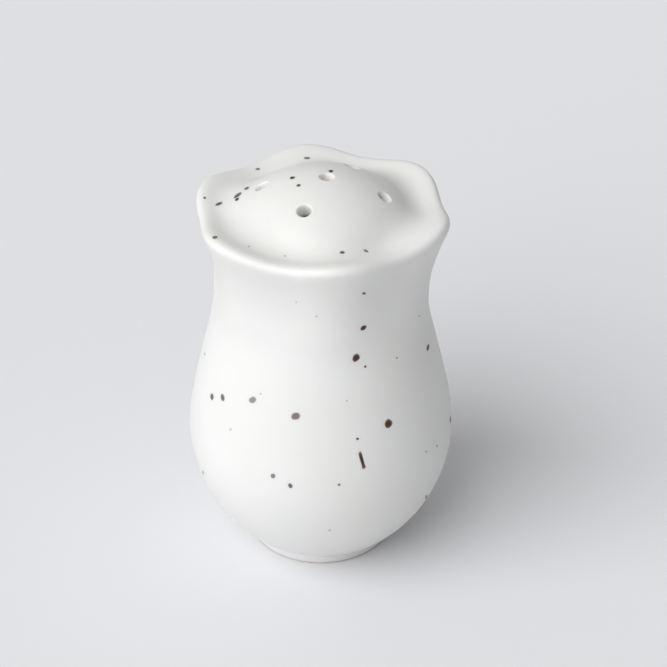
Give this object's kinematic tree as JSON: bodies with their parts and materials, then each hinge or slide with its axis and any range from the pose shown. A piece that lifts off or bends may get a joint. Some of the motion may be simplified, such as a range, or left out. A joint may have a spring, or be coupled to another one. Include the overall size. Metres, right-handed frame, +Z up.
{
  "type": "table shaker",
  "caption": "Glazed ceramic table shaker with a round belly, flared scalloped lip and pierced dome top, filled through a soft stopper in its base.",
  "frame": {"origin": "centre of the foot ring on the table", "axes": "+Z up along the shaker's axis, -Y towards the viewer of the picture, +X to the viewer's right"},
  "size_m": [0.057, 0.057, 0.088],
  "materials": {
    "glaze": "satin white glaze with sparse brown iron specks",
    "stopper_rubber": "soft matt"
  },
  "bodies": {
    "shaker": {"shaker_body": "glaze"},
    "stopper": {"base_stopper": "stopper_rubber"}
  },
  "joints": [
    {"name": "stopper_pull", "type": "slide", "parent": "shaker", "child": "stopper", "axis": [0, 0, -1], "range_m": [0, 0.03]}
  ]
}
